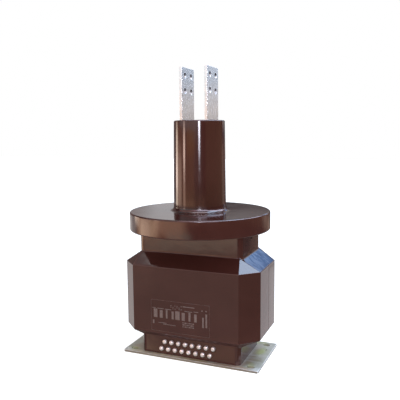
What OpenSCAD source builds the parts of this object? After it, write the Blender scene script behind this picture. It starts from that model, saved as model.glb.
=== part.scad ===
// Cast-resin indoor current transformer with a flanged bushing and two flat primary terminals.
// Millimetres. Origin: centre of the base plate's underside. +Z up, the secondary terminals face -Y.

/* [Base plate] */
// Width of the base plate along X
plate_w = 387; // [380:1:400]
// Depth of the base plate along Y
plate_d = 194; // [190:1:210]
// Thickness of the base plate
plate_t = 6; // [5:0.5:8]
// Corner radius of the base plate
plate_r = 6; // [3:0.5:10]
// Distance between the fixing slots along X
slot_sx = 336; // [326:1:342]
// Distance between the fixing slots along Y
slot_sy = 153; // [146:1:168]
// End-to-end length of a fixing slot
slot_len = 21; // [18:0.5:24]
// Width of a fixing slot
slot_w = 13; // [11:0.5:14]
// X position of the earthing hole
earth_x = 176; // [172:1:180]
// Y position of the earthing hole
earth_y = 42; // [30:1:50]

/* [Cast body] */
// Width of the foot along X
foot_w = 284; // [280:1:290]
// Depth of the foot along Y
foot_d = 168; // [160:1:172]
// Width of the outline in which the lower slopes end
low_w = 280; // [276:1:284]
// Depth of the outline in which the lower slopes end
low_d = 153; // [150:1:160]
// Height at which the lower slopes end
foot_top = 52; // [50:0.5:56]
// Width of the main block along X
body_w = 383; // [378:1:384]
// Depth of the main block along Y
body_d = 229; // [224:1:236]
// Leg of the main block's vertical chamfers
body_c = 44; // [38:1:48]
// Height of the lower edge of the main block's upright faces
body_z1 = 76; // [70:1:80]
// Height of the upper edge of the main block's upright faces
body_z2 = 254; // [250:1:258]
// Width of the outline in which the upper slopes end
high_w = 281; // [278:1:284]
// Depth of the outline in which the upper slopes end
high_d = 162; // [158:1:166]
// Height at which the upper slopes end
neck_z = 286; // [282:1:290]
// Width of the neck along X
neck_w = 291; // [286:1:294]
// Depth of the neck along Y
neck_d = 162; // [156:1:164]
// Edge radius of the main block
edge_r = 3; // [1.5:0.5:4]
// Vertical corner radius of the foot and the neck
corner_r = 15; // [10:0.5:16]

/* [Flange and bushing] */
// Radius of the round flange
flange_r = 190; // [186:0.5:191]
// Height of the flange's underside
flange_z = 345; // [342:1:350]
// Thickness of the flange
flange_t = 48.5; // [44:0.5:50]
// Radius of the bushing at its foot
bush_r1 = 71; // [69:0.5:72]
// Radius of the bushing at its top
bush_r2 = 68; // [66:0.5:69]
// Height of the bushing's top
bush_z = 634; // [620:1:650]
// Radius of the fillet at the bushing's foot
bush_fillet = 12; // [5:0.5:16]

/* [Primary conductor] */
// Distance between the centres of the two terminal bars
bar_pitch = 70.6; // [68:0.2:76]
// Width of a terminal bar along Y
bar_w = 80; // [74:1:82]
// Thickness of a terminal bar along X
bar_t = 8; // [6:0.5:10]
// Height of the bars' upper ends
bar_top = 772; // [750:1:800]
// Diameter of the busbar holes
bar_hole_d = 14; // [11:0.5:15]
// Spacing of the busbar holes, both ways
bar_hole_s = 40; // [36:1:42]
// Diameter of the link through the cores
link_d = 30; // [24:1:36]

/* [Cores and windings] */
// Height of the cores' common axis
core_z = 148; // [146:1:150]
// Outer radius of a wound core
wind_ro = 74; // [70:0.5:76]
// Inner radius of a wound core
wind_ri = 36; // [32:0.5:40]
// Width of a wound core along X
wind_w = 56; // [50:0.5:56]
// Thickness of the winding round the core
wind_t = 6; // [4:0.5:8]
// Centre distance of the wound cores
wind_pitch = 62; // [60:0.5:62]

/* [Secondary terminals] */
// Pitch of the terminals along a row
term_pitch = 20; // [19:0.5:20]
// Centre of the upper row along X
term_cx = -1.25; // [-4:0.25:0]
// Shift of the lower row against the upper one
term_shift = -10; // [-11:0.5:-9]
// Height of the upper row
term_z2 = 41; // [38:0.5:44]
// Height of the lower row
term_z1 = 21; // [18:0.5:23]
// Diameter of a terminal insert
term_d = 12.4; // [11:0.2:13]

/* [Rating panel] */
// Width of the moulded panel's outline
panel_w = 166; // [160:1:170]
// Height of the moulded panel's outline
panel_h = 85; // [80:1:88]
// Centre of the panel along X
panel_x = -12; // [-20:1:0]
// Centre of the panel's height
panel_z = 124.5; // [122:0.5:127]
// Height of the relief above the face
relief_h = 0.8; // [0.5:0.1:1.2]

/* [Hidden] */
$fn = 96;

resin = "#4b2d27";
zinc = "#b4ac95";
tinned = "#b4b8c2";
copper = "#b4714a";
steel = "#8c8f93";
nickel = "#d8cfca";

flange_top = flange_z + flange_t;
foot_y = -foot_d / 2;
body_y = -body_d / 2;
recess = 1.5;          // depth of the ring recess round a terminal
ins_l = 16;            // length of a terminal insert
lead_d = 3;            // diameter of an insulated lead
tail_d = 6;            // diameter of an insert's crimped tail
run_z = 242;           // underside of the bars' horizontal run
bend = 8;              // inside radius of a bar's bend
leg_x = 146;           // centre plane of a bar's inner leg
leg_bot = 118;         // lower end of a bar's inner leg
stud_d = 20;           // threaded end of the link
foot_sx = 115;         // half the X distance of the screws under the plate
foot_sy = 50;          // half the Y distance of the screws under the plate
side_z = 326;          // height of the threaded inserts in the neck's ends
term_n = 8;

function arc(cx, cy, r, a0, a1, n) = [for (i = [0:n]) let (a = a0 + (a1 - a0) * i / n) [cx + r * cos(a), cy + r * sin(a)]];
function wind_x(k) = (k - 1.5) * wind_pitch;
// The sixteen terminals in order of X: even ones lie in the lower row, odd ones in the upper row.
function term_x(j) = term_cx + (floor(j / 2) - (term_n - 1) / 2) * term_pitch + (j % 2 == 0 ? term_shift : 0);
function term_z(j) = j % 2 == 0 ? term_z1 : term_z2;
// The leads end on the underside of the windings, the lower row's further back than the upper row's.
function lead_x(j) = wind_x(floor(j / 4)) * 0.85 + (j % 4 - 1.5) * 6;
function tail_l(j) = j % 2 == 0 ? 14 : 8;
function lead_from(j) = [term_x(j), foot_y + recess + ins_l + tail_l(j) - 2.5, term_z(j)];
function lead_to(j) = [lead_x(j), -55 + tail_l(j), core_z - 50];

module rounded_box(w, d, r, z0, z1) {
    translate([0, 0, z0]) linear_extrude(z1 - z0) union() {
        square([w - 2 * r, d], center = true);
        square([w, d - 2 * r], center = true);
        for (x = [-1, 1], y = [-1, 1]) translate([x * (w / 2 - r), y * (d / 2 - r)]) circle(r, $fn = 48);
    }
}

// A disc whose axis is X, at height z, from x0 to x1.
module along_x(x0, x1, z) { translate([x0, 0, z]) rotate([0, 90, 0]) linear_extrude(x1 - x0) children(); }

// A disc or ring whose axis is Y, from y0 (outer end, nearer the viewer) to y1.
module along_y(x, z, y0, y1) { translate([x, y0, z]) rotate([-90, 0, 0]) linear_extrude(y1 - y0) children(); }

// ---- base plate and what is on it ----
module slot_cut() {
    hull_l = slot_len - slot_w;
    translate([-hull_l / 2, -slot_w / 2, -1]) cube([hull_l, slot_w, plate_t + 2]);
    for (s = [-1, 1]) translate([s * hull_l / 2, 0, -1]) cylinder(d = slot_w, h = plate_t + 2, $fn = 48);
}

module base_plate() {
    color(zinc) difference() {
        rounded_box(plate_w, plate_d, plate_r, 0, plate_t);
        for (x = [-1, 1], y = [-1, 1]) translate([x * slot_sx / 2, y * slot_sy / 2, 0]) slot_cut();
        for (x = [-1, 1], y = [-1, 1]) translate([x * foot_sx, y * foot_sy, 0]) {
            translate([0, 0, -1]) cylinder(d = 10.5, h = plate_t + 2, $fn = 48);
            translate([0, 0, -0.01]) cylinder(d1 = 18.52, d2 = 10, h = 4.27, $fn = 48);
        }
        translate([earth_x, earth_y, -1]) cylinder(d = 6.8, h = plate_t + 2, $fn = 48);
    }
}

module base_screws() {
    color(steel) for (x = [-1, 1], y = [-1, 1]) translate([x * foot_sx, y * foot_sy, 0]) difference() {
        union() {
            translate([0, 0, 0.3]) cylinder(d1 = 17.9, d2 = 10, h = 3.95, $fn = 48);
            cylinder(d = 17.9, h = 0.3, $fn = 48);
            translate([0, 0, 4]) cylinder(d = 8.5, h = 22, $fn = 48);
        }
        translate([0, 0, -1]) cylinder(d = 7, h = 4, $fn = 6);
    }
}

module base_insert_form() {
    for (x = [-1, 1], y = [-1, 1]) translate([x * foot_sx, y * foot_sy, plate_t]) children();
}

module base_inserts() {
    color("#b08d4a") difference() {
        base_insert_form() cylinder(d = 16, h = 25, $fn = 48);
        base_insert_form() translate([0, 0, -1]) cylinder(d = 8.5, h = 21 + 1, $fn = 48);
    }
}

// ---- primary conductor ----
module bar_outline(bx) {
    t = bar_t;
    translate([bx - t / 2, run_z + t + bend]) square([t, bar_top - run_z - t - bend]);
    translate([bx + t / 2 + bend, run_z + t + bend]) intersection() {
        difference() { circle(bend + t); circle(bend); }
        translate([-bend - t - 1, -bend - t - 1]) square(bend + t + 1);
    }
    translate([bx + t / 2 + bend, run_z]) square([leg_x - t - bx - 2 * bend, t]);
    translate([leg_x - t / 2 - bend, run_z - bend]) intersection() {
        difference() { circle(bend + t); circle(bend); }
        square(bend + t + 1);
    }
    translate([leg_x - t / 2, leg_bot]) square([t, run_z - bend - leg_bot]);
}

module bar_blank(side) {
    scale_x = side;
    mirror([scale_x < 0 ? 1 : 0, 0, 0]) rotate([90, 0, 0]) linear_extrude(bar_w, center = true) bar_outline(bar_pitch / 2);
}

module bar_holes(side) {
    for (y = [-1, 1], z = [0, 1])
        translate([side * bar_pitch / 2 - bar_t, y * bar_hole_s / 2, bar_top - 21 - z * bar_hole_s])
            rotate([0, 90, 0]) cylinder(d = bar_hole_d, h = 2 * bar_t, $fn = 48);
    translate([side * leg_x - bar_t, 0, core_z]) rotate([0, 90, 0]) cylinder(d = stud_d, h = 2 * bar_t, $fn = 64);
}

module primary_bar(side) { color(tinned) difference() { bar_blank(side); bar_holes(side); } }

module primary_link() {
    color(copper) translate([0, 0, core_z]) {
        rotate([0, 90, 0]) translate([0, 0, -leg_x + bar_t / 2]) cylinder(d = link_d, h = 2 * leg_x - bar_t, $fn = 64);
        rotate([0, 90, 0]) translate([0, 0, -leg_x - 22]) cylinder(d = stud_d, h = 2 * leg_x + 44, $fn = 64);
    }
}

module link_washer_form(hole) {
    for (s = [-1, 1]) translate([s * (leg_x + bar_t / 2 + 1.5), 0, core_z]) rotate([0, 90, 0]) difference() {
        cylinder(d = 36, h = 3, center = true, $fn = 64);
        if (hole) cylinder(d = stud_d, h = 5, center = true, $fn = 64);
    }
}

module link_nut_form(hole) {
    for (s = [-1, 1]) translate([s * (leg_x + bar_t / 2 + 9), 0, core_z]) rotate([0, 90, 0]) difference() {
        cylinder(d = 34.6, h = 12, center = true, $fn = 6);
        if (hole) cylinder(d = stud_d, h = 14, center = true, $fn = 64);
    }
}

module link_washers() { color(steel) link_washer_form(true); }
module link_nuts() { color(steel) link_nut_form(true); }

// ---- cores and windings ----
module ring(ro, ri, w) {
    rotate([0, 90, 0]) difference() {
        cylinder(r = ro, h = w, center = true, $fn = 128);
        cylinder(r = ri, h = w + 2, center = true, $fn = 128);
    }
}

module core(k) {
    color(steel) translate([wind_x(k), 0, core_z]) ring(wind_ro - wind_t, wind_ri + wind_t, wind_w - 2 * wind_t);
}

module winding(k) {
    color(copper) translate([wind_x(k), 0, core_z]) difference() {
        ring(wind_ro, wind_ri, wind_w);
        ring(wind_ro - wind_t, wind_ri + wind_t, wind_w - 2 * wind_t);
    }
}

module spacer_form() {
    for (k = [0:2]) translate([wind_x(k) + wind_pitch / 2, 0, core_z]) ring(wind_ro, wind_ri, wind_pitch - wind_w);
}

module core_spacers() { color("#c9a46a") spacer_form(); }

// ---- secondary leads, each from an insert's tail up to its winding ----
module lead_rod(j) {
    v = lead_to(j) - lead_from(j);
    l = norm(v);
    translate(lead_from(j)) rotate([0, acos(v[2] / l), atan2(v[1], v[0])]) cylinder(d = lead_d, h = l, $fn = 24);
}

module insert_form(j) {
    along_y(term_x(j), term_z(j), foot_y + recess, foot_y + recess + ins_l) circle(d = term_d, $fn = 48);
    along_y(term_x(j), term_z(j), foot_y + recess + ins_l - 1, foot_y + recess + ins_l + tail_l(j)) circle(d = tail_d, $fn = 32);
}

module lead(j) {
    difference() {
        lead_rod(j);
        along_y(term_x(j), term_z(j), foot_y + recess + 1, foot_y + recess + ins_l + tail_l(j)) circle(d = tail_d, $fn = 32);
        along_x(wind_x(0) - wind_w, wind_x(3) + wind_w, core_z) circle(r = wind_ro, $fn = 128);
    }
}

module secondary_leads() { color("#3a3f8c") for (j = [0:15]) lead(j); }

// ---- secondary terminals ----
module terminal_inserts() {
    color("#c9b183") for (j = [0:15]) difference() {
        insert_form(j);
        along_y(term_x(j), term_z(j), foot_y + recess - 1, foot_y + recess + ins_l - 3) circle(d = 5, $fn = 32);
    }
}

module terminal_washers() {
    color(nickel) for (j = [0:15]) along_y(term_x(j), term_z(j), foot_y + recess - 1.2, foot_y + recess)
        difference() { circle(d = 12.4, $fn = 48); circle(d = 6.4, $fn = 32); }
}

module terminal_spring_washers() {
    color(nickel) for (j = [0:15]) along_y(term_x(j), term_z(j), foot_y + recess - 2.6, foot_y + recess - 1.2)
        difference() {
            circle(d = 10.6, $fn = 48);
            circle(d = 6.4, $fn = 32);
            rotate(25) translate([2, -0.4]) square([6, 0.8]);
        }
}

module terminal_screws() {
    h0 = foot_y + recess - 2.6;
    color(nickel) for (j = [0:15]) translate([term_x(j), h0, term_z(j)]) rotate([90, 0, 0]) difference() {
        union() {
            translate([0, 0, -12.6]) cylinder(d = 5, h = 12.7, $fn = 32);
            cylinder(d = 11.6, h = 1.8, $fn = 48);
            translate([0, 0, 1.8]) cylinder(d1 = 11.6, d2 = 8.4, h = 1.8, $fn = 48);
        }
        rotate([0, 0, 20 + 37 * j]) translate([-3.2, -0.6, 1.4]) cube([6.4, 1.2, 4]);
        rotate([0, 0, 110 + 37 * j]) translate([-3.2, -0.6, 1.4]) cube([6.4, 1.2, 4]);
    }
}

// ---- threaded inserts in the ends of the neck ----
module side_inserts() {
    color("#b08d4a") for (s = [-1, 1]) translate([s * (neck_w / 2 - 2), 0, side_z]) rotate([0, -90 * s, 0]) difference() {
        cylinder(d = 14, h = 22, $fn = 48);
        translate([0, 0, -1]) cylinder(d = 6.8, h = 19, $fn = 32);
    }
}

// ---- the casting ----
function unit(v) = v / norm(v);
// The corner p1 of a polygon, rounded to radius r with n short edges.
function round_corner(p0, p1, p2, r, n) =
    let (a = unit(p0 - p1), b = unit(p2 - p1), h = acos(a * b) / 2,
         c = p1 + unit(a + b) * r / sin(h), u = p1 + a * r / tan(h) - c, v = p1 + b * r / tan(h) - c,
         a0 = atan2(u[1], u[0]), d0 = atan2(v[1], v[0]) - a0, d = d0 > 180 ? d0 - 360 : d0 < -180 ? d0 + 360 : d0)
    [for (i = [0:n]) c + r * [cos(a0 + d * i / n), sin(a0 + d * i / n)]];
// Rounds the corners listed in pick and keeps the others sharp.
function rounded(pts, pick, r, n) = let (m = len(pts))
    [for (i = [0:m - 1]) each (len([for (k = pick) if (k == i) k]) > 0
        ? round_corner(pts[(i + m - 1) % m], pts[i], pts[(i + 1) % m], r, n) : [pts[i]])];

// The block's outline seen from one side: m is its half width there, f0 and f1 the half widths in which the slopes end.
function block_outline(m, f0, f1) = let (
    lo = f0 - 2 * (m - f0) / (body_z1 - foot_top), hi = f1 - 2 * (m - f1) / (neck_z - body_z2))
    [[lo, foot_top - 2], [m, body_z1], [m, body_z2], [hi, neck_z + 2], [-hi, neck_z + 2], [-m, body_z2], [-m, body_z1], [-lo, foot_top - 2]];

module block_slab(turn, m, f0, f1) {
    rotate([0, 0, turn]) rotate([90, 0, 0]) linear_extrude(500, center = true)
        polygon(rounded(block_outline(m, f0, f1), [1, 2, 5, 6], edge_r, 3));
}

// The chamfered block: what the four outlines share, with its upright edges eased.
module main_block() {
    diag = (body_w / 2 + body_d / 2 - body_c) / sqrt(2);
    low_diag = (low_w / 2 + low_d / 2) / sqrt(2);
    high_diag = (high_w / 2 + high_d / 2) / sqrt(2);
    w = body_w / 2 + 0.05;
    d = body_d / 2 + 0.05;
    intersection() {
        block_slab(0, body_w / 2, low_w / 2, high_w / 2);
        block_slab(90, body_d / 2, low_d / 2, high_d / 2);
        block_slab(45, diag, low_diag, high_diag);
        block_slab(135, diag, low_diag, high_diag);
        translate([0, 0, foot_top - 10]) linear_extrude(neck_z - foot_top + 20)
            polygon(rounded([[w, -d + body_c], [w, d - body_c], [w - body_c, d], [-w + body_c, d],
                [-w, d - body_c], [-w, -d + body_c], [-w + body_c, -d], [w - body_c, -d]], [0:7], edge_r, 3));
    }
}

module turned() {
    rotate_extrude($fn = 180) polygon(concat(
        [[0, flange_z]],
        arc(flange_r - 3, flange_z + 3, 3, -90, 0, 4),
        arc(flange_r - 4, flange_top - 4, 4, 0, 90, 5),
        arc(bush_r1 + bush_fillet, flange_top + bush_fillet, bush_fillet, 270, 180, 6),
        arc(bush_r2 - 3, bush_z - 3, 3, 0, 90, 4),
        [[0, bush_z]]));
}

module panel_frame() {
    difference() {
        square([panel_w, panel_h], center = true);
        square([panel_w - 2.2, panel_h - 2.2], center = true);
    }
}

// Plain strokes in the panel: bars with short lines over them, two fields of studs, and a few long lines.
module panel_relief() {
    bars = [[-75, 10.5], [-57.5, 8.6], [-39.5, 4.8], [-23, 6.2], [-12.5, 12.6], [6, 8.6], [25.2, 5.4], [40.8, 7.2]];
    for (i = [0:7]) translate([bars[i][0], -5.5]) square([bars[i][1], i % 2 == 0 ? 23.2 : 21]);
    for (q = [[-79, 9.5, 19.1], [-64, 18.5, 18.7], [-42, 18, 18.4], [14, 22, 19.1], [39.5, 13, 20.5]])
        translate([q[0], q[2]]) square([q[1], 1.9]);
    for (i = [0:5], k = [0:2]) if ((i + k) % 3 != 0) translate([-26 + 5.8 * i, 21.7 + 4.1 * k]) square([3, 2]);
    for (i = [0:5], k = [0:2]) translate([8 + 5.6 * i, -23.3 + 5.2 * k]) square([(i + k) % 2 != 0 ? 4.2 : 2.8, 3.2]);
    translate([8.8, 30.7]) square([33.2, 2.1]);
    translate([-78, -23]) square([4.4, 10.1]);
    translate([-62.5, -19.5]) square([24.5, 1.4]);
    translate([-48, -22.9]) square([36, 1.8]);
    translate([63, -17.5]) square([4.6, 27]);
    translate([72, -16.5]) square([4.6, 35.5]);
    for (x = [61.4, 72.2]) translate([x, 25.1]) square(3.1);
}

module cast_outer() {
    rounded_box(foot_w, foot_d, corner_r, plate_t, foot_top + 8);
    main_block();
    rounded_box(neck_w, neck_d, corner_r, neck_z - 8, flange_z + 2);
    turned();
    translate([panel_x, body_y + 1, panel_z]) rotate([90, 0, 0]) {
        linear_extrude(1 + 0.55 * relief_h) panel_frame();
        linear_extrude(1 + relief_h) panel_relief();
    }
}

// The space that everything cast into the body takes up.
module embedded() {
    bar_blank(-1);
    bar_blank(1);
    along_x(-leg_x, leg_x, core_z) circle(d = link_d, $fn = 64);
    along_x(-leg_x - 22, leg_x + 22, core_z) circle(d = stud_d, $fn = 64);
    link_washer_form(false);
    link_nut_form(false);
    translate([0, 0, core_z]) ring(wind_ro, wind_ri, 3 * wind_pitch + wind_w);
    for (j = [0:15]) {
        lead_rod(j);
        insert_form(j);
        along_y(term_x(j), term_z(j), foot_y - 1, foot_y + recess) circle(d = 16, $fn = 48);
    }
    base_insert_form() translate([0, 0, -1]) cylinder(d = 16, h = 26, $fn = 48);
    for (s = [-1, 1]) translate([s * (neck_w / 2 + 1), 0, side_z]) rotate([0, -90 * s, 0]) {
        cylinder(d = 8, h = 10, $fn = 32);
        translate([0, 0, 3]) cylinder(d = 14, h = 22, $fn = 48);
    }
}

module cast_body() { color(resin) difference() { cast_outer(); embedded(); } }

base_plate();
cast_body();
primary_bar(-1);  // primary_bar_p1
primary_bar(1);  // primary_bar_p2
primary_link();
link_washers();
link_nuts();
core(0);  // core_1
core(1);  // core_2
core(2);  // core_3
core(3);  // core_4
winding(0);  // winding_1
winding(1);  // winding_2
winding(2);  // winding_3
winding(3);  // winding_4
core_spacers();
secondary_leads();
terminal_inserts();
terminal_washers();
terminal_spring_washers();
terminal_screws();
base_inserts();
base_screws();
side_inserts();
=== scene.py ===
import math

import bmesh
import bpy
import numpy as np
from mathutils import Matrix, Vector
from mathutils.geometry import tessellate_polygon


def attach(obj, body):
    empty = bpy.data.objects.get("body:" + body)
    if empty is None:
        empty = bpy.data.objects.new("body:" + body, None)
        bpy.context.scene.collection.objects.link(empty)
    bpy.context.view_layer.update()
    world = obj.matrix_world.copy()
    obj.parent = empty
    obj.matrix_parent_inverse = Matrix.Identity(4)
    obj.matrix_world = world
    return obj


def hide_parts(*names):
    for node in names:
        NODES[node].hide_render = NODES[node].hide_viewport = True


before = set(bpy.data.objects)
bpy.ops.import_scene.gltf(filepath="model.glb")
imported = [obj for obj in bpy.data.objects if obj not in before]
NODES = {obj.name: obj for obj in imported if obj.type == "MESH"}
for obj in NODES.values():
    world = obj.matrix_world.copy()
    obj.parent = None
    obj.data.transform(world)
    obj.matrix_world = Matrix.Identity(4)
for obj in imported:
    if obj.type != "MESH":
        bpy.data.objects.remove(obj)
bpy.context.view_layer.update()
MM = 0.001

# ------------------------------------------------------------------ camera
def make_camera():
    yaw, pitch, roll = math.radians(22.4535), math.radians(6.8320), math.radians(-0.4654)
    fwd = Vector((-math.sin(yaw) * math.cos(pitch), math.cos(yaw) * math.cos(pitch), -math.sin(pitch)))
    right = Vector((math.cos(yaw), math.sin(yaw), 0))
    up = right.cross(fwd)
    r2 = right * math.cos(roll) + up * math.sin(roll)
    u2 = up * math.cos(roll) - right * math.sin(roll)
    data = bpy.data.cameras.new("camera")
    data.sensor_fit = "HORIZONTAL"
    data.sensor_width = 36.0
    data.lens = 521.547 / 400 * 36.0
    data.clip_start, data.clip_end = 0.05, 60
    cam = bpy.data.objects.new("camera", data)
    m = Matrix.Identity(4)
    for i, v in enumerate((r2, u2, -fwd)):
        for k in range(3):
            m[k][i] = v[k]
    m.translation = Vector((0.53767, -1.30048, 0.58905))
    cam.matrix_world = m
    bpy.context.scene.collection.objects.link(cam)
    bpy.context.scene.camera = cam
    return cam


make_camera()


# ------------------------------------------------------------------ mesh helpers (millimetres in, metres out)
def new_object(name, verts, faces, mats=(), smooth=True, angle=35.0, weighted=True):
    me = bpy.data.meshes.new(name)
    me.from_pydata([tuple(float(c) * MM for c in v) for v in verts], [], [tuple(int(i) for i in f) for f in faces])
    me.validate()
    bm = bmesh.new()
    bm.from_mesh(me)
    bmesh.ops.remove_doubles(bm, verts=bm.verts, dist=2e-7)
    bmesh.ops.dissolve_degenerate(bm, dist=1e-7, edges=bm.edges)
    bmesh.ops.recalc_face_normals(bm, faces=bm.faces)
    bm.to_mesh(me)
    bm.free()
    ob = bpy.data.objects.new(name, me)
    bpy.context.scene.collection.objects.link(ob)
    for m in mats:
        me.materials.append(m)
    finish_mesh(ob, smooth, angle, weighted)
    return ob


def finish_mesh(ob, smooth=True, angle=35.0, weighted=True):
    me = ob.data
    for p in me.polygons:
        p.use_smooth = smooth
    if smooth:
        me.set_sharp_from_angle(angle=math.radians(angle))
        if weighted and "weighted" not in ob.modifiers:
            w = ob.modifiers.new("weighted", "WEIGHTED_NORMAL")
            w.keep_sharp = True
            w.weight = 90


def apply_modifiers(ob):
    dg = bpy.context.evaluated_depsgraph_get()
    me = bpy.data.meshes.new_from_object(ob.evaluated_get(dg), preserve_all_data_layers=True, depsgraph=dg)
    old = ob.data
    ob.modifiers.clear()
    ob.data = me
    bpy.data.meshes.remove(old)


def boolean(ob, cutter, op="DIFFERENCE", keep=False, transfer=False):
    for w in [m for m in ob.modifiers if m.type == "WEIGHTED_NORMAL"]:
        ob.modifiers.remove(w)
    for w in [m for m in cutter.modifiers if m.type == "WEIGHTED_NORMAL"]:
        cutter.modifiers.remove(w)
    mod = ob.modifiers.new("cut", "BOOLEAN")
    mod.operation = op
    mod.solver = "EXACT"
    mod.object = cutter
    if transfer:
        mod.material_mode = "TRANSFER"
    bpy.context.view_layer.update()
    apply_modifiers(ob)
    if not keep:
        me = cutter.data
        bpy.data.objects.remove(cutter)
        bpy.data.meshes.remove(me)


def rounded_polygon(pts, radii, seg):
    """Corner-rounded outline of a counter-clockwise polygon."""
    out, n = [], len(pts)
    for i in range(n):
        p0, p1, p2 = (np.array(pts[(i + k) % n], float) for k in (-1, 0, 1))
        r = radii[i] if isinstance(radii, (list, tuple)) else radii
        a, b = p0 - p1, p2 - p1
        a, b = a / np.linalg.norm(a), b / np.linalg.norm(b)
        half = math.acos(max(-1, min(1, float(a @ b)))) / 2
        if r <= 0 or half > math.pi / 2 - 1e-3:
            out.append(p1)
            continue
        t = r / math.tan(half)
        c = p1 + (a + b) / np.linalg.norm(a + b) * r / math.sin(half)
        u, v = p1 + a * t - c, p1 + b * t - c
        a0 = math.atan2(u[1], u[0])
        d = math.atan2(v[1], v[0]) - a0
        d = (d + math.pi) % (2 * math.pi) - math.pi
        for k in range(seg + 1):
            q = a0 + d * k / seg
            out.append(c + r * np.array([math.cos(q), math.sin(q)]))
    return np.array(out)


def circle_outline(cx, cy, r, n=48):
    a = np.arange(n) * 2 * math.pi / n
    return np.stack([cx + r * np.cos(a), cy + r * np.sin(a)], 1)


def slot_outline(cx, cy, length, width, n=16):
    r, h = width / 2, (length - width) / 2
    pts = []
    for k in range(n + 1):
        a = -math.pi / 2 + math.pi * k / n
        pts.append((cx + h + r * math.cos(a), cy + r * math.sin(a)))
    for k in range(n + 1):
        a = math.pi / 2 + math.pi * k / n
        pts.append((cx - h + r * math.cos(a), cy + r * math.sin(a)))
    return np.array(pts)


def inset(outline, d, hole):
    """Moves a counter-clockwise outline into the material by d."""
    prev, nxt = np.roll(outline, 1, 0), np.roll(outline, -1, 0)
    e1, e2 = outline - prev, nxt - outline
    e1 /= np.linalg.norm(e1, axis=1, keepdims=True)
    e2 /= np.linalg.norm(e2, axis=1, keepdims=True)
    s = -1 if hole else 1
    n1, n2 = s * np.stack([-e1[:, 1], e1[:, 0]], 1), s * np.stack([-e2[:, 1], e2[:, 0]], 1)
    m = (n1 + n2) / (1 + (n1 * n2).sum(1, keepdims=True))
    return outline + m * d


def slab(outer, holes, z0, z1, f0=0.0, f1=0.0, seg=3, hole_f=None):
    """A flat plate between z0 and z1 with rounded rims: verts and faces in its own XY plane."""
    outlines = [(np.asarray(outer, float), False)] + [(np.asarray(h, float), True) for h in holes]
    levels = []
    for k in range(seg + 1):
        a = math.pi / 2 * k / seg
        levels.append((f0 * (1 - math.sin(a)), z0 + f0 * (1 - math.cos(a)), 0) if f0 else (0, z0, 0))
        if not f0:
            break
    for k in range(seg + 1):
        a = math.pi / 2 * k / seg
        levels.append((f1 * (1 - math.cos(a)), z1 - f1 * (1 - math.sin(a)), 1) if f1 else (0, z1, 1))
        if not f1:
            break
    verts, faces, rings = [], [], []
    for outline, is_hole in outlines:
        n = len(outline)
        ring = []
        for d, z, _ in levels:
            scale = 1.0 if hole_f is None or not is_hole else hole_f / max(f1, 1e-9)
            p = inset(outline, d * scale, is_hole) if d else outline
            start = len(verts)
            verts += [(x, y, z) for x, y in p]
            ring.append(range(start, start + n))
        for a, b in zip(ring, ring[1:]):
            for i in range(n):
                j = (i + 1) % n
                q = (a[i], a[j], b[j], b[i])
                faces.append(q[::-1] if is_hole else q)
        rings.append(ring)
    for which, flip in ((0, True), (-1, False)):
        loops = [[Vector(verts[i]) for i in ring[which]] for ring in rings]
        ids = [i for ring in rings for i in ring[which]]
        for tri in tessellate_polygon(loops):
            t = [ids[i] for i in tri]
            a, b, c = (np.array(verts[i][:2]) for i in t)
            area = (b[0] - a[0]) * (c[1] - a[1]) - (b[1] - a[1]) * (c[0] - a[0])
            if abs(area) < 1e-9:
                continue
            if (area > 0) == flip:
                t = t[::-1]
            faces.append(tuple(t))
    return np.array(verts, float), faces


def lathe(profile, n=64):
    """Turns (r, z) points, from the lower to the upper end, round Z; an end on the axis closes itself, any other gets a flat cap."""
    verts, faces, rings = [], [], []
    for r, z in profile:
        if r < 1e-6:
            verts.append((0, 0, z))
            rings.append([len(verts) - 1] * n)
        else:
            start = len(verts)
            for k in range(n):
                a = 2 * math.pi * k / n
                verts.append((r * math.cos(a), r * math.sin(a), z))
            rings.append(list(range(start, start + n)))
    for a, b in zip(rings, rings[1:]):
        for i in range(n):
            j = (i + 1) % n
            f = []
            for q in (a[i], a[j], b[j], b[i]):
                if q not in f:
                    f.append(q)
            if len(f) > 2:
                faces.append(tuple(f))
    if profile[0][0] > 1e-6:
        faces.append(tuple(rings[0][::-1]))
    if profile[-1][0] > 1e-6:
        faces.append(tuple(rings[-1]))
    return np.array(verts, float), faces


def ring_lathe(profile, n=64):
    """Turns a closed (r, z) outline round Z."""
    m = len(profile)
    verts = [(r * math.cos(2 * math.pi * k / n), r * math.sin(2 * math.pi * k / n), z) for k in range(n) for r, z in profile]
    faces = []
    for k in range(n):
        for i in range(m):
            j, l = (i + 1) % m, (k + 1) % n
            faces.append((k * m + i, l * m + i, l * m + j, k * m + j))
    return np.array(verts, float), faces


def arc_pts(cx, cz, r, a0, a1, n):
    return [(cx + r * math.cos(math.radians(a0 + (a1 - a0) * k / n)), cz + r * math.sin(math.radians(a0 + (a1 - a0) * k / n))) for k in range(n + 1)]


def merge(parts):
    verts, faces = [], []
    for v, f in parts:
        base = len(verts)
        verts += [tuple(p) for p in v]
        faces += [tuple(i + base for i in q) for q in f]
    return verts, faces


def to_minus_y(v, x, y, z, spin=0.0):
    """Puts a part that was made along +Z so that it points along -Y, at x, y, z, in mm."""
    v = np.asarray(v, float)
    c, s = math.cos(spin), math.sin(spin)
    px, pz = v[:, 0] * c - v[:, 1] * s, v[:, 0] * s + v[:, 1] * c
    return np.stack([x + px, y - v[:, 2], z + pz], 1)


# ------------------------------------------------------------------ materials
def nodes_for(name):
    m = bpy.data.materials.new(name)
    m.use_nodes = True
    nt = m.node_tree
    nt.nodes.clear()
    out = nt.nodes.new("ShaderNodeOutputMaterial")
    b = nt.nodes.new("ShaderNodeBsdfPrincipled")
    nt.links.new(b.outputs[0], out.inputs[0])
    tc = nt.nodes.new("ShaderNodeTexCoord")
    return m, nt, b, tc


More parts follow.
